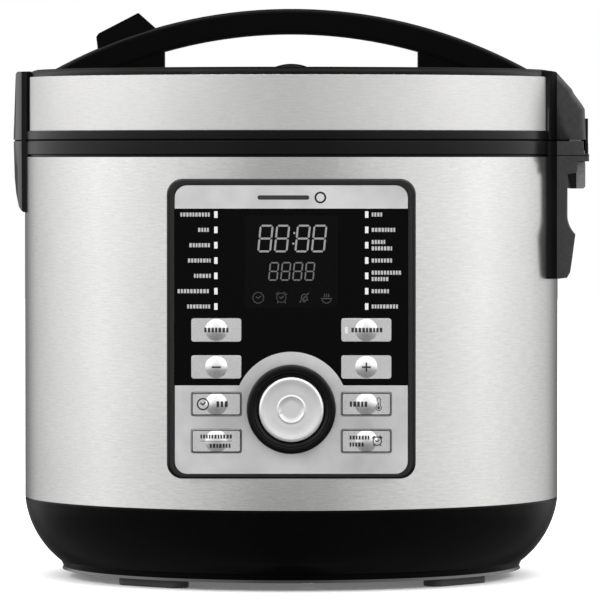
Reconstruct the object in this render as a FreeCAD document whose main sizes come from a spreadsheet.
import FreeCAD, Part
import math
import os
from types import SimpleNamespace

import Sketcher

# An electric multicooker with a hinged lid.  Millimetres, +Z up.  The origin is on the axis of
# the round body, on the surface that the feet stand on.  The control panel faces -Y, the lid
# latch is at -X, the lid hinge at +X and the mains socket at +Y.

DIMENSIONS = (
    # name, value, meaning
    ("shell_radius", 140.0, "outer radius of the steel body"),
    ("shell_sheet", 0.8, "thickness of the steel sheet"),
    ("shell_foot", 41.9, "lower edge of the steel body"),
    ("shell_top", 220.3, "upper edge of the steel body"),
    ("foot_height", 4.1, "height of the rubber feet"),
    ("foot_circle", 109.6, "radius of the circle through the feet"),
    ("foot_length", 43.0, "length of a foot along the circle"),
    ("foot_width", 12.0, "width of a foot"),
    ("base_rim", 120.5, "radius of the bottom rim of the base"),
    ("base_floor", 8.6, "top of the base's inner floor"),
    ("cover_radius", 103.4, "radius of the bottom cover"),
    ("screw_circle", 96.5, "radius of the circle through the base screws"),
    ("ring_foot", 221.2, "lower edge of the visible body ring"),
    ("ring_top", 228.2, "top of the body ring"),
    ("lid_foot", 229.0, "lower edge of the lid"),
    ("trim_top", 233.5, "top of the black trim at the lid's lower edge"),
    ("band_radius", 138.5, "outer radius of the lid's steel band"),
    ("band_top", 261.6, "upper edge of the lid's steel band"),
    ("brow_radius", 131.5, "radius of the crest of the lid's top rim"),
    ("brow_top", 265.2, "height of the crest of the lid's top rim"),
    ("crown_top", 266.6, "height of the lid's top at its middle"),
    ("pot_radius", 114.0, "outer radius of the inner pot"),
    ("pot_wall", 2.0, "wall of the inner pot"),
    ("pot_foot", 62.0, "underside of the inner pot"),
    ("pot_rim", 120.3, "radius of the inner pot's rim"),
    ("pot_ledge", 222.4, "height of the ledge that carries the pot"),
    ("liner_radius", 117.3, "outer radius of the inner liner"),
    ("hinge_across", 146.5, "distance of the hinge pin from the body's axis"),
    ("hinge_up", 232.0, "height of the hinge pin"),
    ("pin_radius", 2.0, "radius of the hinge pin"),
    ("housing_reach", 153.2, "outermost distance of the lid's hinge housing from the body's axis"),
    ("cover_reach", 154.7, "outermost distance of the hinge cover from the body's axis"),
    ("cover_foot", 156.7, "lower edge of the hinge cover"),
    ("guard_half", 30.4, "half the width of the guard between the hinge cheeks"),
    ("guard_top", 240.0, "top of the guard between the hinge cheeks"),
    ("hinge_half", 39.5, "half the width of the hinge cover"),
    ("cheek_half", 37.6, "half the width of the lid's hinge cheeks"),
    ("gap_half", 31.0, "half the gap between the lid's hinge cheeks"),
    ("panel_half", 62.65, "half the width of the panel frame"),
    ("panel_foot", 58.2, "lower edge of the panel frame"),
    ("panel_top", 209.1, "upper edge of the panel frame"),
    ("panel_side", 3.9, "width of the panel frame's sides, seen from the front"),
    ("panel_sill", 2.3, "height of the panel frame's lower edge, seen from the front"),
    ("panel_brow", 3.1, "height of the panel frame's upper edge, seen from the front"),
    ("panel_lap", 0.3, "how far the opening in the steel reaches behind the frame"),
    ("panel_corner", 8.0, "outer corner radius of the panel frame"),
    ("bezel_face", 141.5, "front of the panel frame, before the body's axis"),
    ("plate_face", 141.2, "front of the panel plate, before the body's axis"),
    ("plate_sheet", 2.0, "thickness of the panel plate"),
    ("board_face", 130.5, "front of the control board, before the body's axis"),
    ("display_half", 23.6, "half the width of the display opening"),
    ("display_foot", 144.2, "lower edge of the display opening"),
    ("display_top", 191.0, "upper edge of the display opening"),
    ("key_width", 25.1, "width of a key"),
    ("key_height", 11.7, "height of a key"),
    ("key_column", 37.7, "distance of the key columns from the middle"),
    ("key_first", 77.2, "height of the lowest row of keys"),
    ("key_pitch", 18.63, "distance between the rows of keys"),
    ("lamp_column", 37.9, "distance of the lamp columns from the middle"),
    ("lamp_first", 144.9, "height of the lowest lamp"),
    ("lamp_pitch", 7.7, "distance between lamps"),
    ("lamp_width", 1.7, "width of a lamp"),
    ("lamp_height", 3.3, "height of a lamp"),
    ("dial_up", 93.5, "height of the dial's axis"),
    ("dial_radius", 22.4, "outer radius of the dial ring"),
    ("dial_bore", 16.6, "inner radius of the dial ring"),
    ("button_radius", 16.3, "radius of the button inside the dial"),
    ("dial_front", 151.5, "front of the dial ring, before the body's axis"),
    ("arch_radius", 258.0, "outer radius of the handle's arch"),
    ("arch_up", 39.5, "height of the centre of the handle's arch"),
    ("arch_depth", 13.0, "radial thickness of the handle's arch"),
    ("arch_lower", 1.2, "radial thickness of the handle's lower strip"),
    ("arch_half", 15.0, "half the width of the handle's arch"),
    ("web_half", 11.0, "half the width of the handle's struts"),
    ("web_inner", 66.5, "inner face of the handle's struts"),
    ("button_outer", -101.6, "outer end of the release button"),
    ("button_inner", -70.6, "inner end of the release button"),
    ("button_foot", 272.6, "lowest edge of the release button"),
    ("button_crest", 295.5, "crest of the release button"),
    ("button_half", 11.0, "half the width of the release button"),
    ("button_gap", 0.4, "gap round the release button"),
    ("spring_across", -88.0, "distance of the button's spring from the body's axis"),
    ("spring_foot", 273.0, "lower end of the button's spring"),
    ("spring_top", 280.2, "upper end of the button's spring"),
    ("valve_forward", 62.0, "distance of the steam valve before the body's axis"),
    ("valve_radius", 11.0, "radius of the steam valve cap"),
    ("valve_top", 268.0, "top of the steam valve cap"),
    ("nose_half", 23.5, "half the width of the latch nose at the body"),
    ("nose_crest", 20.0, "half the width of the latch nose's crowned face"),
    ("latch_reach", 146.1, "outermost distance of the latch nose from the body's axis"),
    ("hook_half", 7.0, "half the width of the latch hook"),
    ("hook_across", 140.8, "distance of the hook's pin from the body's axis"),
    ("hook_up", 250.0, "height of the hook's pin"),
    ("hook_pin_radius", 1.0, "radius of the hook's pin"),
    ("keeper_top", 218.8, "top of the keeper under which the hook reaches"),
    ("cup_half", 25.4, "half the width of the condensate cup"),
    ("cup_foot", 203.5, "underside of the condensate cup"),
    ("cup_top", 217.2, "top of the condensate cup"),
    ("cup_back", 153.4, "outer face of the condensate cup"),
    ("inlet_half", 14.3, "half the width of the mains socket"),
    ("inlet_foot", 14.7, "underside of the mains socket"),
    ("inlet_top", 35.3, "top of the mains socket"),
)

FOOT_ANGLES = (-130, -40, 50, 140)
SCREW_ANGLES = (5, 95, 185, 275)


class Size:
    """A length that knows both its value and the sheet formula that gives it."""

    def __init__(self, value, formula):
        self.value = float(value)
        self.formula = formula

    def join(self, other, sign, value):
        return Size(value, f"({self.formula} {sign} {size_of(other).formula})")

    def __add__(self, other):
        return self.join(other, "+", self.value + size_of(other).value)

    def __sub__(self, other):
        return self.join(other, "-", self.value - size_of(other).value)

    def __mul__(self, other):
        return self.join(other, "*", self.value * size_of(other).value)

    def __truediv__(self, other):
        return self.join(other, "/", self.value / size_of(other).value)

    def __radd__(self, other):
        return size_of(other) + self

    def __rsub__(self, other):
        return size_of(other) - self

    def __rmul__(self, other):
        return size_of(other) * self

    def __neg__(self):
        return Size(-self.value, f"(0 - {self.formula})")


def size_of(number):
    if isinstance(number, Size):
        return number
    return Size(number, f"({number!r})")


class Arc:
    """The end of a round stretch of an outline: it bends left (+1) or right (-1) on its way here."""

    def __init__(self, x, y, radius, bend=1):
        self.x = x
        self.y = y
        self.radius = size_of(radius)
        self.bend = bend


doc = FreeCAD.newDocument("multicooker")
sheet = doc.addObject("Spreadsheet::Sheet", "dims")
for row, (name, value, meaning) in enumerate(DIMENSIONS, start=1):
    sheet.set(f"A{row}", meaning)
    sheet.set(f"B{row}", str(value))
    sheet.setAlias(f"B{row}", name)
doc.recompute()
dim = SimpleNamespace(**{name: Size(sheet.get(name), f"dims.{name}") for name, _, _ in DIMENSIONS})

Y_AXIS = FreeCAD.Rotation(FreeCAD.Vector(1, 0, 0), -90)
X_AXIS = FreeCAD.Rotation(FreeCAD.Vector(0, 1, 0), 90)
Z_AXIS = FreeCAD.Rotation()
FRONT = FreeCAD.Rotation(FreeCAD.Vector(1, 0, 0), 90)

sub_parts = []


# ---------------------------------------------------------------- helpers


def bind(thing, prop, size):
    """Tie one property to the sheet."""
    thing.setExpression(prop, size_of(size).formula)


def place(thing, x=0, y=0, z=0, rotation=Z_AXIS):
    """Stand a thing somewhere, with its place tied to the sheet."""
    thing.Placement = FreeCAD.Placement(FreeCAD.Vector(), rotation)
    for axis, distance in zip("xyz", (x, y, z)):
        if isinstance(distance, Size) or distance:
            bind(thing, f"Placement.Base.{axis}", distance)


def corner_point(corner):
    if isinstance(corner, Arc):
        corner = (corner.x, corner.y)
    return FreeCAD.Vector(size_of(corner[0]).value, size_of(corner[1]).value, 0)


def arc_edge(start, end, radius, bend):
    """The short arc from start to end, and whether the sketch keeps its direction."""
    chord = end - start
    half = chord.Length / 2
    rise = math.sqrt(max(radius * radius - half * half, 0))
    left = FreeCAD.Vector(-chord.y, chord.x, 0).normalize()
    centre = (start + end) * 0.5 + left * (rise * bend)
    circle = Part.Circle(centre, FreeCAD.Vector(0, 0, 1), radius)
    first, last = (start, end) if bend > 0 else (end, start)
    angles = [math.atan2(point.y - centre.y, point.x - centre.x) for point in (first, last)]
    if angles[1] < angles[0]:
        angles[1] += 2 * math.pi
    return Part.ArcOfCircle(circle, angles[0], angles[1])


def draw_outline(sketch, corners):
    """Draw one closed outline and tie every corner and radius to the sheet."""
    points = [corner_point(corner) for corner in corners]
    edges = []
    heads = []
    for index, start in enumerate(points):
        following = corners[(index + 1) % len(corners)]
        end = points[(index + 1) % len(points)]
        if isinstance(following, Arc):
            edges.append(arc_edge(start, end, following.radius.value, following.bend))
            heads.append(1 if following.bend > 0 else 2)
        else:
            edges.append(Part.LineSegment(start, end))
            heads.append(1)
    first = sketch.GeometryCount
    sketch.addGeometry(edges, False)
    rules = []
    formulas = []
    for index, corner in enumerate(corners):
        edge = first + index
        following = (index + 1) % len(corners)
        rules.append(Sketcher.Constraint(
            "Coincident", edge, 3 - heads[index], first + following, heads[following]))
        formulas.append(None)
        place_of = (corner.x, corner.y) if isinstance(corner, Arc) else corner
        for kind, distance in zip(("DistanceX", "DistanceY"), place_of):
            rules.append(Sketcher.Constraint(kind, -1, 1, edge, heads[index], size_of(distance).value))
            formulas.append(distance)
        if isinstance(corners[following], Arc):
            radius = corners[following].radius
            rules.append(Sketcher.Constraint("Radius", edge, radius.value))
            formulas.append(radius)
    tie_rules(sketch, rules, formulas)


def draw_circle(sketch, x, y, radius):
    edge = sketch.GeometryCount
    centre = FreeCAD.Vector(size_of(x).value, size_of(y).value, 0)
    sketch.addGeometry([Part.Circle(centre, FreeCAD.Vector(0, 0, 1), size_of(radius).value)], False)
    rules = [
        Sketcher.Constraint("Radius", edge, size_of(radius).value),
        Sketcher.Constraint("DistanceX", -1, 1, edge, 3, size_of(x).value),
        Sketcher.Constraint("DistanceY", -1, 1, edge, 3, size_of(y).value),
    ]
    tie_rules(sketch, rules, [radius, x, y])


def tie_rules(sketch, rules, formulas):
    numbers = sketch.addConstraint(rules)
    for number, formula in zip(numbers, formulas):
        if isinstance(formula, Size) and "dims." in formula.formula:
            sketch.setExpression(f"Constraints[{number}]", formula.formula)


def rectangle(x0, y0, x1, y1):
    return [(x0, y0), (x1, y0), (x1, y1), (x0, y1)]


def rounded(x0, y0, x1, y1, radius):
    """A rectangle with round corners."""
    return [
        Arc(x0 + radius, y0, radius), (x1 - radius, y0), Arc(x1, y0 + radius, radius),
        (x1, y1 - radius), Arc(x1 - radius, y1, radius),
        (x0 + radius, y1), Arc(x0, y1 - radius, radius), (x0, y0 + radius),
    ]


def new_body(label):
    body = doc.addObject("PartDesign::Body", label)
    body.Label = label
    return body


def new_sketch(body, role, outlines, circles=(), start=0):
    """A sketch on one of the body's own origin planes, moved along the plane's normal."""
    sketch = body.newObject("Sketcher::SketchObject", "outline")
    plane = next(item for item in body.Origin.OriginFeatures if item.Role == role)
    sketch.AttachmentSupport = (plane, [""])
    sketch.MapMode = "FlatFace"
    if isinstance(start, Size) or start:
        bind(sketch, "AttachmentOffset.Base.z", start)
    for corners in outlines:
        draw_outline(sketch, corners)
    for x, y, radius in circles:
        draw_circle(sketch, x, y, radius)
    return sketch


def pad(body, role, outlines, start, length, circles=()):
    feature = body.newObject("PartDesign::Pad", "pad")
    feature.Profile = new_sketch(body, role, outlines, circles, start)
    bind(feature, "Length", length)
    return feature


def pocket(body, role, outlines, start, length, circles=()):
    """Cut along the plane's normal, and make sure that something was cut."""
    doc.recompute()
    before = body.Shape.Volume
    feature = body.newObject("PartDesign::Pocket", "pocket")
    feature.Profile = new_sketch(body, role, outlines, circles, start)
    feature.Reversed = True
    bind(feature, "Length", length)
    doc.recompute()
    if not body.Shape.Volume < before:
        raise RuntimeError(f"a pocket in {body.Label} cuts nothing")
    return feature


def turned(label, corners, x=0, y=0, z=0, rotation=Z_AXIS):
    """A piece turned about its own Z axis; the outline is (radius, height)."""
    body = new_body(label)
    feature = body.newObject("PartDesign::Revolution", "turn")
    feature.Profile = new_sketch(body, "XZ_Plane", [corners])
    feature.ReferenceAxis = (feature.Profile[0], ["V_Axis"])
    feature.Angle = 360
    place(body, x, y, z, rotation)
    return body


def prism(label, role, outlines, start, length, circles=()):
    body = new_body(label)
    pad(body, role, outlines, start, length, circles)
    return body


def block(label, x0, y0, z0, x1, y1, z1):
    """A box between two corners."""
    thing = doc.addObject("Part::Box", label)
    thing.Label = label
    for prop, low, high in (("Length", x0, x1), ("Width", y0, y1), ("Height", z0, z1)):
        bind(thing, prop, size_of(high) - low)
    place(thing, x0, y0, z0)
    return thing


def rod(label, radius, length, x=0, y=0, z=0, rotation=Z_AXIS):
    """A round bar that starts at a point and runs along Z, or along the turned axis."""
    thing = doc.addObject("Part::Cylinder", label)
    thing.Label = label
    bind(thing, "Radius", radius)
    bind(thing, "Height", length)
    place(thing, x, y, z, rotation)
    return thing


def cut(label, base, *tools):
    """Take the tools away from the base."""
    for tool in tools:
        thing = doc.addObject("Part::Cut", f"{label}_cut")
        thing.Base = base
        thing.Tool = tool
        base = thing
    base.Label = label
    return base


def fuse(label, *things):
    thing = doc.addObject("Part::MultiFuse", label)
    thing.Label = label
    thing.Shapes = list(things)
    return thing


def shared(label, first, second):
    """What two things have in common."""
    thing = doc.addObject("Part::MultiCommon", label)
    thing.Label = label
    thing.Shapes = [first, second]
    return thing


def group(label, things):
    """Several separate solids in one node."""
    thing = doc.addObject("Part::Compound", label)
    thing.Label = label
    thing.Links = list(things)
    return thing


def around(label, template, angles):
    """Copies of a piece, turned about the body's axis."""
    doc.recompute()
    copies = []
    for angle in angles:
        copy = template.Shape.copy()
        copy.rotate(FreeCAD.Vector(), FreeCAD.Vector(0, 0, 1), angle)
        copies.append(copy)
    thing = doc.addObject("Part::Feature", label)
    thing.Label = label
    thing.Shape = Part.makeCompound(copies)
    return thing


def coil_spring(label, radius, wire, turns, height, x, y, z, rotation=Z_AXIS):
    """A spring wound from round wire."""
    path = Part.Wire(Part.makeHelix(height / turns, height, radius))
    section = Part.Wire(Part.makeCircle(wire / 2, FreeCAD.Vector(radius, 0, 0), FreeCAD.Vector(0, 1, 0)))
    thing = doc.addObject("Part::Feature", label)
    thing.Label = label
    thing.Shape = path.makePipeShell([section], True, True)
    place_at = FreeCAD.Vector(size_of(x).value, size_of(y).value, size_of(z).value)
    thing.Placement = FreeCAD.Placement(place_at, rotation)
    return thing


def keep(thing):
    """List a finished sub-part for writing."""
    sub_parts.append(thing)
    return thing


# ---------------------------------------------------------------- shapes that others are cut to


def dome_radius(half, rise):
    """The radius of a dome that is level at its middle."""
    return (half * half + rise * rise) / (rise * 2)


def bowl_side():
    """The outer curve of the base, from its rim to the steel body."""
    return [
        (dim.base_rim, dim.foot_height),
        (dim.base_rim - 0.6, dim.foot_height + 1.4),
        (dim.base_rim + 0.5, dim.foot_height + 4.0),
        Arc(dim.shell_radius, dim.shell_foot - 0.8, 48.4),
    ]


def lid_side():
    """The outer line of the closed lid, from its lower edge to the middle of its top."""
    inner = dim.brow_radius - 5.5
    rise = dim.crown_top - dim.brow_top + 0.5
    return [
        (dim.shell_radius, dim.lid_foot),
        (dim.shell_radius, dim.trim_top),
        (dim.band_radius, dim.trim_top),
        (dim.band_radius, dim.band_top),
        Arc(dim.brow_radius, dim.brow_top, 5.5),
        (inner, dim.brow_top - 0.5),
        Arc(0, dim.crown_top, dome_radius(inner, rise)),
    ]


lid_form = turned("lid_form", [(0, dim.lid_foot)] + lid_side())
body_form = rod("body_form", dim.shell_radius, dim.ring_top, z=0)
bowl_form = turned("bowl_form", [(0, dim.foot_height)] + bowl_side() + [(0, dim.shell_foot - 0.8)])


# ---------------------------------------------------------------- base


def base_housing():
    """The black bowl under the steel body, with screw bosses and the opening for the socket."""
    lip = dim.shell_radius - 1.4
    bowl = turned("base_bowl", [(dim.cover_radius + 0.5, dim.foot_height)] + bowl_side() + [
        (lip, dim.shell_foot - 0.8),
        (lip, dim.shell_foot + 4.6),
        (lip - 2.2, dim.shell_foot + 4.6),
        (lip - 2.2, dim.shell_foot - 2.9),
        Arc(dim.base_rim - 1.5, dim.base_floor + 2.9, 45.0, -1),
        (dim.base_rim - 4.5, dim.base_floor),
        (dim.screw_circle - 5, dim.base_floor),
        (dim.screw_circle - 5, dim.foot_height + 2.3),
        (dim.cover_radius + 0.5, dim.foot_height + 2.3),
    ])
    boss = rod("screw_boss", 4.0, 9.4, x=dim.screw_circle, z=dim.base_floor - 0.2)
    hole = rod("screw_hole", 1.5, 12.0, x=dim.screw_circle, z=dim.foot_height)
    socket = block(
        "socket_opening", -dim.inlet_half, 100, dim.inlet_foot, dim.inlet_half, 150, dim.inlet_top)
    bosses = around("screw_bosses", boss, SCREW_ANGLES)
    holes = around("screw_holes", hole, SCREW_ANGLES)
    keep(cut("base_housing", fuse("bossed_bowl", bowl, bosses), holes, socket))


def bottom_cover():
    """The plate under the base, with cooling slots."""
    body = prism("bottom_cover", "XY_Plane", [], dim.foot_height + 0.1, 2.2, [(0, 0, dim.cover_radius)])
    holes = [
        (dim.screw_circle * round(math.cos(math.radians(angle)), 6),
         dim.screw_circle * round(math.sin(math.radians(angle)), 6), 1.5)
        for angle in SCREW_ANGLES
    ]
    slots = [rounded(-30, 14 * step - 1.5, 30, 14 * step + 1.5, 1.2) for step in range(-2, 3)]
    pocket(body, "XY_Plane", slots, dim.foot_height - 1, 5, holes)
    keep(body)


def feet_and_screws():
    pad_half = dim.foot_width / 2
    foot = prism("foot", "XY_Plane", [rounded(
        dim.foot_circle - pad_half, -dim.foot_length / 2,
        dim.foot_circle + pad_half, dim.foot_length / 2, 5.5)], 0, dim.foot_height)
    keep(around("rubber_feet", foot, FOOT_ANGLES))
    head = dim.foot_height + 0.1
    screw = turned("base_screw", [(0, head - 1.8), (3.2, head - 1.8), (3.2, head), (1.5, head),
                                  (1.5, head + 9.0), (0, head + 10.0)], x=dim.screw_circle)
    keep(around("base_screws", screw, SCREW_ANGLES))


def mains_inlet():
    """The socket at the back for the mains lead, flush with the base, and its three pins."""
    opening = 12.0
    floor = 112.0
    blank = block("inlet_blank", -dim.inlet_half, 106, dim.inlet_foot,
                  dim.inlet_half, 145, dim.inlet_top)
    flush = shared("inlet_flush", blank, bowl_form)
    hollow = block("inlet_hollow", -opening, floor, dim.inlet_foot + 2.3,
                   opening, 150, dim.inlet_top - 2.3)
    middle = (dim.inlet_foot + dim.inlet_top) / 2
    pins = []
    slots = []
    for across, up in ((-7.0, -2.0), (7.0, -2.0), (0.0, 2.0)):
        low = middle + up
        pins.append(block("inlet_pin", across - 1, 102, low - 2, across + 1, 126, low + 2))
        slots.append(block("inlet_slot", across - 1, 102, low - 2, across + 1, 126, low + 2))
    keep(cut("power_inlet", flush, hollow, *slots))
    keep(group("inlet_pins", pins))


# ---------------------------------------------------------------- steel body and heating


def body_shell():
    inner = dim.shell_radius - dim.shell_sheet
    tube = turned("shell_tube", [
        (inner, dim.shell_foot), (dim.shell_radius, dim.shell_foot),
        (dim.shell_radius, dim.shell_top), (inner, dim.shell_top)])
    (x0, z0), (x1, z1) = panel_opening(-dim.panel_lap)
    window = block("panel_window", x0, -150, z0, x1, -100, z1)
    notch = block("shell_notch", -150, -9, dim.shell_top - 16, -130, 9, dim.shell_top + 1)
    keep(cut("body_shell", tube, window, notch))


def body_ring():
    """The black ring on top of the steel body; its inner ledge carries the pot."""
    lip = dim.shell_radius - 1.4
    under = dim.pot_ledge - 3.0
    ring = turned("ring_blank", [
        (dim.pot_radius + 1.5, under), (lip - 2.2, under),
        (lip - 2.2, dim.shell_top - 5.8), (lip, dim.shell_top - 5.8),
        (lip, dim.ring_foot), (dim.shell_radius, dim.ring_foot),
        (dim.shell_radius, dim.ring_top), (dim.pot_rim + 0.7, dim.ring_top),
        (dim.pot_rim + 0.7, dim.pot_ledge), (dim.pot_radius + 1.5, dim.pot_ledge)])
    notch = block("ring_notch", -150, -9, dim.shell_top - 16, -134.5, 9, dim.ring_top + 1)
    keep(cut("body_ring", ring, notch))


def inner_liner():
    radius = dim.liner_radius
    keep(turned("inner_liner", [
        (92, 47), (radius, 47), (radius, dim.pot_ledge - 3.0),
        (radius - 0.8, dim.pot_ledge - 3.0), (radius - 0.8, 47.8), (92, 47.8)]))


def inner_pot():
    inside = dim.pot_radius - dim.pot_wall
    keep(turned("inner_pot", [
        (0, dim.pot_foot), (dim.pot_radius - 18, dim.pot_foot),
        Arc(dim.pot_radius, dim.pot_foot + 18, 18),
        (dim.pot_radius, dim.pot_ledge), (dim.pot_rim, dim.pot_ledge),
        (dim.pot_rim, dim.pot_ledge + dim.pot_wall), (inside, dim.pot_ledge + dim.pot_wall),
        (inside, dim.pot_foot + 18),
        Arc(dim.pot_radius - 18, dim.pot_foot + dim.pot_wall, 16, -1),
        (0, dim.pot_foot + dim.pot_wall)]))


def heating():
    """The heating plate with its terminals, fuse and shield, and the sprung sensor in its middle."""
    under = dim.pot_foot - 10
    keep(turned("heating_plate", [
        (15, under), (86, under), (86, dim.pot_foot - 3), (83, dim.pot_foot), (15, dim.pot_foot)]))
    terminals = [block("heater_terminal", 66, side - 3, under - 4, 67, side + 3, under)
                 for side in (-14, 14)]
    keep(group("heater_terminals", terminals))
    keep(rod("thermal_fuse", 2.4, 20, x=-50, y=-10, z=under - 2.4, rotation=Y_AXIS))
    keep(turned("heat_shield", [
        (7, under - 7), (126, under - 7), (126, under - 6), (62, under - 6), (62, under),
        (60.8, under), (60.8, under - 6), (7, under - 6)]))
    top = dim.pot_foot - 0.2
    keep(turned("sensor_plunger", [
        (0, top - 18), (6, top - 18), (6, top - 4), (14.4, top - 4), (14.4, top), (0, top)]))
    keep(coil_spring("sensor_spring", 8.6, 0.9, 4, 9.6, 0, 0, under - 5.5))


def power_electronics():
    """The power board in the base, with its relay, transformer and capacitor."""
    face = 16.6
    keep(block("power_board", -60, -45, 15, 40, 45, face))
    relay = block("relay", -50, -34, face, -31, -18, face + 15)
    transformer = block("transformer", -20, -36, face, 8, -12, face + 22)
    capacitor = rod("capacitor", 6.5, 20, x=22, y=10, z=face)
    terminal = block("terminal_block", -50, 24, face, -20, 36, face + 10)
    keep(group("board_components", [relay, transformer, capacitor, terminal]))


# ---------------------------------------------------------------- control panel


def panel_opening(inset):
    """Two opposite corners of the frame's opening, drawn in by an inset."""
    reach = dim.panel_half - dim.panel_side - inset
    low = dim.panel_foot + dim.panel_sill + inset
    return (-reach, low), (reach, dim.panel_top - dim.panel_brow - inset)


def key_places():
    """Name and middle of each key, from the bottom row up."""
    left = ("key_cancel", "key_time", "key_minus", "key_preheat")
    right = ("key_delayed_start", "key_temperature", "key_plus", "key_recipe")
    for side, names in ((-1, left), (1, right)):
        for step, name in enumerate(names):
            yield name, dim.key_column * side, dim.key_first + dim.key_pitch * step


def lamp_places():
    for side in (-1, 1):
        for step in range(7):
            yield dim.lamp_column * side, dim.lamp_first + dim.lamp_pitch * step


def key_outlines(spare):
    half = dim.key_width / 2 + spare
    tall = dim.key_height / 2 + spare
    return [rounded(x - half, z - tall, x + half, z + tall, 1.3) for _, x, z in key_places()]


def lamp_outlines(spare):
    half = dim.lamp_width / 2 + spare
    tall = dim.lamp_height / 2 + spare
    return [rectangle(x - half, z - tall, x + half, z + tall) for x, z in lamp_places()]


def panel_frame():
    """The black frame that stands proud of the round body; its back follows the steel."""
    outer = rounded(-dim.panel_half, dim.panel_foot, dim.panel_half, dim.panel_top, dim.panel_corner)
    (x0, z0), (x1, z1) = panel_opening(0)
    inner = rounded(x0, z0, x1, z1, dim.panel_corner - 1.5)
    blank = prism("frame_blank", "XZ_Plane", [outer, inner], 118, dim.bezel_face - 118)
    keep(cut("panel_frame", blank, body_form))


def panel_plate():
    """The flat plate with the openings for display, lamps, keys and dial."""
    (x0, z0), (x1, z1) = panel_opening(0.2)
    outer = rounded(x0, z0, x1, z1, dim.panel_corner - 1.7)
    window = rounded(-dim.display_half, dim.display_foot, dim.display_half, dim.display_top, 2)
    body = prism("panel_plate", "XZ_Plane", [outer], dim.plate_face - dim.plate_sheet, dim.plate_sheet)
    openings = [window] + key_outlines(0.3) + lamp_outlines(0.1)
    pocket(body, "XZ_Plane", openings, dim.plate_face - dim.plate_sheet - 1, 5,
           [(0, dim.dial_up, dim.dial_radius - 3.0)])
    keep(body)


def panel_inside():
    """Window, lamps, display, board, switches and the carrier that holds them."""
    front = dim.plate_face
    keep(prism("display_window", "XZ_Plane", [rounded(
        -dim.display_half + 0.1, dim.display_foot + 0.1,
        dim.display_half - 0.1, dim.display_top - 0.1, 2)], front - 1.6, 1.6))
    lamps = lamp_outlines(0)
    keep(prism("indicator_lenses", "XZ_Plane", lamps, dim.board_face + 7.6, front - dim.board_face - 7.6))
    keep(block("display_module", -dim.display_half + 1, -(front - 2.2), dim.display_foot + 1.8,
               dim.display_half - 1, -dim.board_face, dim.display_top - 1.8))
    half = dim.panel_half - 6.6
    keep(block("control_board", -half, -dim.board_face, dim.panel_foot + 6,
               half, 1.6 - dim.board_face, dim.panel_top - 6))
    switches = [block("switch", x - 3, -dim.board_face - 2.2, z - 3, x + 3, -dim.board_face, z + 3)
                for _, x, z in key_places()]
    keep(group("tact_switches", switches))
    carrier = prism("panel_carrier", "XZ_Plane", [rectangle(
        -half - 0.2, dim.panel_foot + 5.8, half + 0.2, dim.panel_top - 5.8)],
        dim.board_face, 7.5)
    spare = dim.display_half - 0.6
    openings = [rectangle(-spare, dim.display_foot + 1.4, spare, dim.display_top - 1.4)]
    openings += [rectangle(x - 4.5, z - 3.6, x + 4.5, z + 3.6) for _, x, z in key_places()]
    pocket(carrier, "XZ_Plane", openings, dim.board_face - 1, 12,
           [(0, dim.dial_up, dim.dial_radius - 2.8)])
    inside = [rectangle(1.8 - half, dim.panel_foot + 7.8, half - 1.8, dim.panel_top - 7.8)]
    pocket(carrier, "XZ_Plane", inside, dim.board_face - 1, 6.9)
    keep(carrier)


def control_key(name, x, z):
    """A key with a domed middle and a stem that reaches its switch."""
    half = dim.key_width / 2
    tall = dim.key_height / 2
    face = dim.plate_face + 0.4
    body = prism("key_blank", "XZ_Plane", [rounded(x - half, z - tall, x + half, z + tall, 1.3)],
                 dim.plate_face - dim.plate_sheet - 0.2, 2.6)
    pad(body, "XZ_Plane", [rectangle(x - 2, z - 2, x + 2, z + 2)],
        dim.board_face + 2.8, dim.plate_face - dim.plate_sheet - dim.board_face - 2.9)
    ball = 11.0
    proud = 1.5
    dome = doc.addObject("Part::Sphere", "key_dome")
    bind(dome, "Radius", ball)
    place(dome, x, -(face + proud) + ball, z)
    limits = block("dome_limits", x - tall, -(face + 2), z - tall, x + tall, -(face - 0.3), z + tall)
    keep(fuse(name, body, shared("trimmed_dome", dome, limits)))


def dial():
    """The turning ring, the button inside it, and the fixed bush that carries both."""
    foot = dim.plate_face + 0.5
    front = dim.dial_front
    neck = dim.dial_radius - 3.4
    keep(turned("dial_ring", [
        (dim.dial_bore, dim.board_face + 1.0), (neck, dim.board_face + 1.0), (neck, foot),
        (dim.dial_radius, foot), (dim.dial_radius, front - 1.4),
        Arc(dim.dial_radius - 1.4, front, 1.4), (dim.dial_bore + 0.9, front),
        (dim.dial_bore, front - 0.9)], z=dim.dial_up, rotation=FRONT))
    keep(turned("dial_bush", [
        (3.08, dim.board_face), (dim.dial_bore - 0.07, dim.board_face),
        (dim.dial_bore - 0.07, front - 4.6), (3.08, front - 4.6)], z=dim.dial_up, rotation=FRONT))
    keep(turned("start_button", [
        (0, dim.board_face + 1.3), (3, dim.board_face + 1.3), (3, front - 3.2),
        (dim.button_radius, front - 3.2), (dim.button_radius, front - 0.5),
        (dim.button_radius - 1.4, front + 0.5),
        Arc(0, front + 0.9, dome_radius(dim.button_radius - 1.4, size_of(0.4)))],
        z=dim.dial_up, rotation=FRONT))


# ---------------------------------------------------------------- lid


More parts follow.
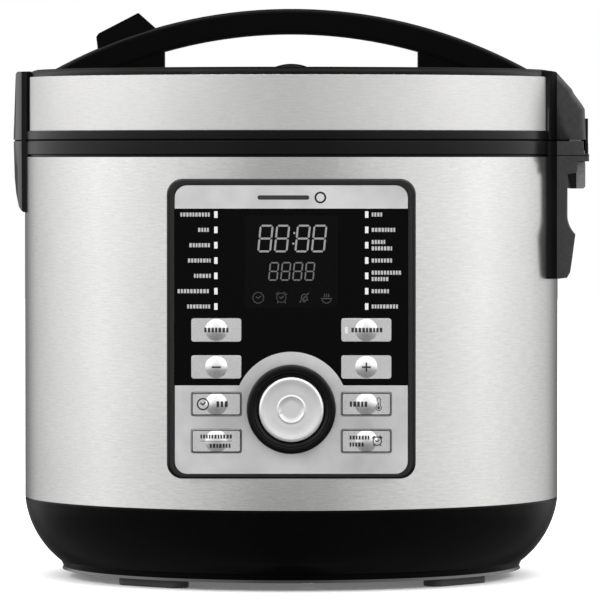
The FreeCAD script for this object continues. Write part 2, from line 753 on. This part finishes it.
def lid_shells():
    """Steel band, black top cover and the lower housing that they fit on."""
    inner = dim.band_radius - dim.shell_sheet
    slot = block("latch_slot", -150, -9, dim.lid_foot - 1, -137.2, 9, 254)
    band = turned("band_blank", [
        (inner, dim.trim_top), (dim.band_radius, dim.trim_top),
        (dim.band_radius, dim.band_top), (inner, dim.band_top)])
    keep(cut("lid_band", band, slot))
    skirt = inner - 0.9
    top = turned("top_blank", [
        (0, dim.crown_top - 2.4), (dim.brow_radius - 3.5, dim.band_top + 0.8),
        (skirt - 2, dim.band_top), (skirt - 2, dim.band_top - 3.2), (skirt, dim.band_top - 3.2),
        (skirt, dim.band_top)] + lid_side()[3:])
    well = rod("valve_well", dim.valve_radius + 0.4, 30, y=-dim.valve_forward, z=dim.band_top - 10)
    keep(cut("lid_top_cover", top, well, handle_screw_rods("top_screw_holes")))
    seat = dim.lid_foot + 3.2
    housing = turned("housing_blank", [
        (8.3, seat), (dim.pot_rim + 2.2, seat), (dim.pot_rim + 2.2, dim.lid_foot),
        (dim.shell_radius, dim.lid_foot), (dim.shell_radius, dim.trim_top),
        (inner - 0.9, dim.trim_top), (inner - 0.9, dim.band_top - 3.4),
        (inner - 3, dim.band_top - 3.4), (inner - 3, seat + 2.5), (8.3, seat + 2.5)])
    steam = rod("steam_hole", 9.2, 20, y=-dim.valve_forward, z=seat - 5)
    slot = block("housing_slot", -150, -9, dim.lid_foot - 1, -137.2, 9, 254)
    keep(cut("lid_lower_housing", housing, steam, slot))


def inner_lid_and_seal():
    """The removable dished plate under the lid, and the seal that meets the pot's rim."""
    seat = dim.lid_foot + 0.6
    plate = turned("inner_lid_blank", [
        (0, seat - 3), (98, seat - 3), (102, seat), (dim.pot_rim - 1.8, seat),
        (dim.pot_rim - 1.8, seat + 1), (101.6, seat + 1), (97.6, seat - 2), (8, seat - 2),
        (8, seat + 6), (0, seat + 6)])
    vent = rod("vent_hole", 4.0, 20, y=-dim.valve_forward, z=seat - 10)
    keep(cut("inner_lid", plate, vent))
    rim = dim.pot_ledge + dim.pot_wall + 0.4
    keep(turned("lid_gasket", [
        (112.5, seat), (111.5, rim + 0.6), (112.5, rim), (dim.pot_rim - 1.5, rim),
        (dim.pot_rim, rim + 1.5), (dim.pot_rim, seat + 1.8), (dim.pot_rim - 1.8, seat + 1.8),
        (dim.pot_rim - 1.8, seat)]))


def steam_valve():
    """The vent tube from the inner lid, and the cap that lifts out of the lid's top."""
    foot = dim.lid_foot - 1.4
    keep(turned("steam_vent", [
        (7, foot), (9.0, foot), (9.0, dim.valve_top - 12), (dim.valve_radius - 0.2, dim.valve_top - 12),
        (dim.valve_radius - 0.2, dim.valve_top - 10), (7, dim.valve_top - 10)], y=-dim.valve_forward))
    keep(turned("steam_valve_cap", [
        (0, dim.valve_top - 5.5), (8, dim.valve_top - 5.5), (8, dim.valve_top - 9),
        (dim.valve_radius, dim.valve_top - 9), (dim.valve_radius, dim.valve_top - 2.75),
        Arc(0, dim.valve_top, dome_radius(dim.valve_radius, size_of(2.75)))], y=-dim.valve_forward))


def arch_outline(outer, inner, reach_outer, reach_inner):
    """The band between two arcs about the arch's centre, cut off at two distances."""
    low = dim.band_top
    return [
        (reach_outer, low), Arc(-reach_outer, low, outer),
        (-reach_inner, low), Arc(reach_inner, low, inner, -1)]


def arc_reach(radius):
    """How far from the middle the arch's circle meets the level of the band's top."""
    drop = dim.band_top - dim.arch_up
    root = math.sqrt(radius.value ** 2 - drop.value ** 2)
    return Size(root, f"(({radius.formula}) ^ 2 - ({drop.formula}) ^ 2) ^ 0.5")


def handle_screw_rods(label):
    return group(label, [
        rod("screw_rod", 1.5, 16, x=x, y=y, z=dim.band_top - 3)
        for x in (-82, 82) for y in (-6, 6)])


def button_outline(grow, drop):
    """The wedge of the release button in the XZ plane, grown by a gap and deepened."""
    outer = dim.button_outer - grow
    inner = dim.button_inner + grow
    return [
        (outer + 0.6, dim.button_foot - drop), (inner, dim.button_foot + 10.4 - drop),
        (inner, dim.button_crest - 8.4 + grow), (inner - 9.5, dim.button_crest + grow),
        (outer + 0.6, dim.button_crest - 10.8 + grow), (outer - 0.6, dim.button_crest - 12.6 + grow)]


def handle():
    """The arch on the lid: an upper shell, a lower strip with two struts, and the screws."""
    split = dim.arch_radius - dim.arch_depth + dim.arch_lower
    lower = dim.arch_radius - dim.arch_depth
    upper = prism("arch_blank", "XZ_Plane", [arch_outline(
        dim.arch_radius, split, arc_reach(dim.arch_radius), arc_reach(split))],
        -dim.arch_half, dim.arch_half * 2)
    half = dim.button_half + dim.button_gap
    well = prism("button_well", "XZ_Plane", [button_outline(dim.button_gap, 4.0)], -half, half * 2)
    seat = rod("spring_seat", 4.2, 10, x=dim.spring_across, z=dim.spring_foot - 0.3)
    keep(cut("handle_upper", upper, lid_form, well, seat, handle_screw_rods("arch_screw_holes")))
    strip_half = dim.arch_half - 1.5
    strip = prism("arch_strip", "XZ_Plane", [arch_outline(
        split, lower, arc_reach(split), arc_reach(lower))], -strip_half, strip_half * 2)
    disc = rod("arch_disc", lower + 0.3, 60, y=-30, z=dim.arch_up, rotation=Y_AXIS)
    struts = []
    for near, far in ((-100, -dim.web_inner), (dim.web_inner, 100)):
        strut = block("strut_blank", near, -dim.web_half, dim.band_top, far, dim.web_half, 285)
        struts.append(shared("strut", strut, disc))
    keep(cut("handle_lower", fuse("strip_and_struts", strip, *struts), lid_form,
             handle_screw_rods("strut_screw_holes")))
    seat = dim.band_top + 1.35
    screws = [
        turned("handle_screw", [
            (0, seat - 1.8), (3, seat - 1.8), (3, seat), (1.5, seat), (1.5, seat + 9.6),
            (0, seat + 10.6)], x=x, y=y)
        for x in (-82, 82) for y in (-6, 6)]
    keep(group("handle_screws", screws))


def release_button():
    """The wedge at the handle's left end that releases the latch, and its spring."""
    half = dim.button_half
    wedge = prism("button_blank", "XZ_Plane", [button_outline(0, 0)], -half, half * 2)
    bore = rod("button_bore", 4.4, dim.spring_top + 0.4 - 266, x=dim.spring_across, z=266)
    keep(cut("release_button", wedge, bore))
    height = dim.spring_top - dim.spring_foot
    keep(coil_spring("button_spring", 3.2, 0.7, 6, height.value, dim.spring_across, 0, dim.spring_foot))


def latch_plan(start, length):
    """The latch nose seen from above: a crowned face between two side walls."""
    crest = dim.nose_crest
    return prism("nose_plan", "XY_Plane", [[
        (-130, -dim.nose_half), (-130, dim.nose_half), (-138, dim.nose_half), (-140.4, crest),
        Arc(-140.4, -crest, 38.5), (-138, -dim.nose_half)]], start, length)


def hook_rod(label, radius, half):
    """A bar along the axis that the hook turns on."""
    return rod(label, radius, half * 2, x=-dim.hook_across, y=-half, z=dim.hook_up, rotation=Y_AXIS)


def latch():
    """The nose on the lid, the shield under it, the hook with its pin, and the keeper."""
    side = dim.nose_half + 1
    reach = dim.latch_reach
    brow = dim.brow_top - 0.6
    profile = prism("nose_profile", "XZ_Plane", [[
        (-136, dim.lid_foot), (-136, brow), (2.7 - reach, brow), (1.7 - reach, brow - 1.2),
        (0.6 - reach, dim.lid_foot + 8), (-reach, dim.lid_foot)]],
        -side, side * 2)
    hollow = block("nose_hollow", 2.7 - reach, -10, dim.lid_foot - 1, -130, 10, dim.hook_up + 6)
    pin_hole = hook_rod("nose_pin_hole", dim.hook_pin_radius, 11.8)
    nose = shared("nose_blank", latch_plan(dim.lid_foot - 1, 50), profile)
    keep(cut("latch_nose_cover", nose, lid_form, hollow, pin_hole))

    top = dim.ring_top
    profile = prism("shield_profile", "XZ_Plane", [[
        (-130, top), (0.3 - reach, top), (1.0 - reach, top - 19.0), (1.9 - reach, top - 27.0),
        (3.2 - reach, top - 33.0), Arc(6.0 - reach, top - 37.0, 6.5), (-130, top - 38.0)]], -side, side * 2)
    hollow = block("shield_hollow", 2.5 - reach, -10, dim.keeper_top - 13.8, -130, 10, top + 1)
    shield = shared("shield_blank", latch_plan(180, 60), profile)
    keep(cut("latch_shield", shield, body_form, hollow))

    top = dim.keeper_top
    keep(prism("latch_keeper", "XZ_Plane", [[
        (2.5 - reach, top - 11.8), (3.3 - reach, top - 11.8), (3.3 - reach, top - 2),
        (4.1 - reach, top - 2), (4.1 - reach, top), (2.5 - reach, top)]], -8, 16))

    x = -dim.hook_across
    z = dim.hook_up
    arm = prism("hook_arm", "XZ_Plane", [[
        (x + 1.2, z - 36), (x + 1.6, z - 34), (x + 1.6, z + 3), (x - 1.6, z + 3), (x - 1.6, z - 3),
        (x, z - 6), (x, z - 33.8), (x - 0.6, z - 33.8), (x - 0.6, z - 36)]],
        -dim.hook_half, dim.hook_half * 2)
    keep(cut("latch_hook", arm, hook_rod("hook_eye", dim.hook_pin_radius + 0.06, 12)))
    keep(hook_rod("hook_pin", dim.hook_pin_radius, 11.8))


def hinge_plan(half, start, length):
    """The hinge block seen from above: a flange on the round body and two flat cheeks."""
    flange = half + 4.5
    return prism("hinge_plan", "XY_Plane", [[
        (120, -flange), (134.5, -flange), (138.0, -half), (160, -half),
        (160, half), (138.0, half), (134.5, flange), (120, flange)]], start, length)


def hinge():
    """The lid's hinge housing, the cover on the body, and the bracket, pin and springs inside."""
    across = dim.hinge_across
    up = dim.hinge_up
    foot = dim.lid_foot
    back = dim.housing_reach
    brow = dim.brow_top - 0.5
    profile = prism("housing_profile", "XZ_Plane", [[
        (120, foot), (back, foot), (back - 0.6, foot + 15.8), (back - 1.9, foot + 18.1),
        (back - 6.2, foot + 23.9), (back - 7.4, foot + 26.3), (back - 15.7, brow - 0.5),
        (back - 18.9, brow), (120, brow)]], -50, 100)
    blank = shared("housing_solid", hinge_plan(dim.cheek_half, dim.lid_foot - 1, 50), profile)
    relief = rod("housing_relief", 12.3, dim.gap_half * 2, x=across, y=-dim.gap_half, z=up,
                 rotation=Y_AXIS)
    under = block("housing_under", 130, -dim.gap_half, dim.lid_foot - 1, 160, dim.gap_half, up)
    eye = rod("housing_eye", dim.pin_radius + 0.05, 73.2, x=across, y=-36.6, z=up, rotation=Y_AXIS)
    keep(cut("hinge_housing", blank, lid_form, relief, under, eye))

    keep(rod("hinge_pin", dim.pin_radius, 72.6, x=across, y=-36.3, z=up, rotation=Y_AXIS))

    skin = dim.hinge_half - 1.3
    floor = dim.ring_foot + 0.3
    foot = dim.cover_foot
    back = dim.cover_reach
    cup = dim.cup_top
    profile = prism("cover_profile", "XZ_Plane", [[
        (120, foot), (back - 16, foot), (back - 11.5, foot + 0.5), (back - 9.8, foot + 3.4),
        (back - 8.6, foot + 11.8), (back - 7.1, foot + 23.3), Arc(back - 11.2, foot + 32.3, 14, -1),
        (back - 11.2, cup - 6.2), (back - 6, cup - 5.2), (back - 6, cup + 0.3), (back, cup + 0.5),
        (back, dim.ring_top - 1.7), (back - 0.2, dim.ring_top), (120, dim.ring_top)]], -50, 100)
    blank = shared("cover_solid", hinge_plan(dim.hinge_half, 150, 90), profile)
    half = dim.guard_half
    trough = block("cover_trough", 120, -skin, floor, back - 1.7, skin, 250)
    corners = group("cover_corners", [
        block("cover_corner", back - 2.7, low, floor, 160, low + skin + 2 - half, 250)
        for low in (half, -skin - 2)])
    bay = block("cup_bay", back - 11, -dim.cup_half - 0.4, dim.cup_foot - 3, 170,
                dim.cup_half + 0.4, cup + 0.4)
    grooves = group("cup_grooves", [
        block("cup_groove", back - 11, low, cup - 3.5, 170, low + 4, cup - 1.7)
        for low in (-dim.cup_half - 2, dim.cup_half - 2)])
    cover = cut("cover_trimmed", blank, body_form, trough, corners, bay, grooves)
    guard = block("hinge_guard", back - 1.7, -half, floor, back - 0.1, half, dim.guard_top)
    keep(fuse("hinge_cover", cover, guard))

    lugs = []
    for low in (0.2 - half, half - 6.2):
        foot = block("lug_foot", across - 4.5, low, floor, across + 4.5, low + 6, up)
        eye = rod("lug_round", 4.5, 6, x=across, y=low, z=up, rotation=Y_AXIS)
        lugs.append(fuse("lug", foot, eye))
    plate = block("bracket_plate", across - 6.2, 0.2 - half, floor, across + 6.3, half - 0.2, floor + 1.6)
    bore = rod("bracket_bore", dim.pin_radius, 80, x=across, y=-40, z=up, rotation=Y_AXIS)
    keep(cut("hinge_bracket", fuse("bracket_blank", plate, *lugs), bore))

    springs = [coil_spring("hinge_coil", 3.3, 1.2, 8, 12.0, across, low, up, Y_AXIS)
               for low in (-21, 9)]
    keep(group("hinge_springs", springs))


def condensate_cup():
    """The small cup behind the hinge that catches condensed water and pulls out."""
    back = dim.cup_back
    half = dim.cup_half
    foot = dim.cup_foot
    top = dim.cup_top
    body = prism("cup_blank", "XZ_Plane", [[
        (back - 9.2, top - 6.2), (back - 7.6, foot), (back - 1, foot), (back, foot + 1),
        (back, top), (back - 9.2, top)]], -half, half * 2)
    wall = 1.4
    hollow = prism("cup_hollow", "XZ_Plane", [[
        (back - 7.8, top - 5.6), (back - 6.6, foot + wall), (back - wall, foot + wall),
        (back - wall, top + 1), (back - 7.8, top + 1)]], wall - half, (half - wall) * 2)
    rails = [block("cup_rail", back - 9, low, top - 3.2, back - 5, low + 2.2, top - 2)
             for low in (-half - 1.6, half - 0.6)]
    keep(fuse("condensate_cup", cut("cup_shell", body, hollow), *rails))


base_housing()
bottom_cover()
feet_and_screws()
mains_inlet()
body_shell()
body_ring()
inner_liner()
inner_pot()
heating()
power_electronics()
panel_frame()
panel_plate()
panel_inside()
for key_name, key_x, key_z in key_places():
    control_key(key_name, key_x, key_z)
dial()
lid_shells()
inner_lid_and_seal()
steam_valve()
handle()
release_button()
latch()
hinge()
condensate_cup()


# ---------------------------------------------------------------- check and write

doc.recompute()
for item in doc.Objects:
    if "Invalid" in item.State or "Error" in item.State:
        raise RuntimeError(f"{item.Name} failed: {item.State}")

os.makedirs("parts", exist_ok=True)
for item in sub_parts:
    shape = item.Shape
    if shape.isNull() or not shape.isValid() or not shape.Solids:
        raise RuntimeError(f"{item.Label} has no valid solid")
    shape.exportStep(os.path.join("parts", f"{item.Label}.step"))
    print(item.Label, len(shape.Solids), round(shape.Volume))
print(len(sub_parts), "sub-parts")
